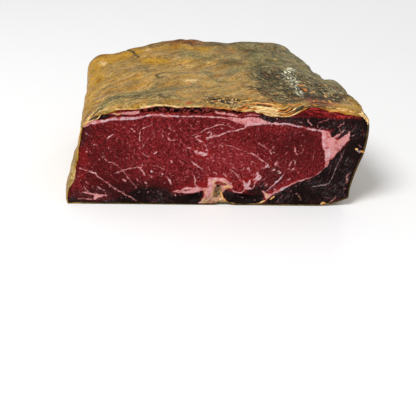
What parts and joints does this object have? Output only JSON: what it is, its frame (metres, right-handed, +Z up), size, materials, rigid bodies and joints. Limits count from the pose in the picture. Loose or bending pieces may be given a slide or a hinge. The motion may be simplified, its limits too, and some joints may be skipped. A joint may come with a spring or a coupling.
{
  "type": "cecina",
  "caption": "Half of a pressed block of air-cured beef, cut across: ochre rind outside, dark red lean with seams of fat on the cut face. It lies on its flat underside.",
  "frame": {"origin": "centre of the underside of the bounding box: the middle of the block's box in plan, at the height of the surface it lies on", "axes": "+X runs across the cut face, to the right as one looks at it; -Y is the way the cut face looks, so +Y runs into the block; +Z is up"},
  "size_m": [0.2192, 0.1548, 0.0819],
  "materials": {
    "rind": "dry, lumpy, ochre to grey-olive, glossy where the fat sweats",
    "lean": "cut cured lean, dark red, slightly moist, finely marbled",
    "fat": "firm pink-white fat, satin"
  },
  "bodies": {
    "root": {"cecina": "rind"}
  },
  "joints": []
}
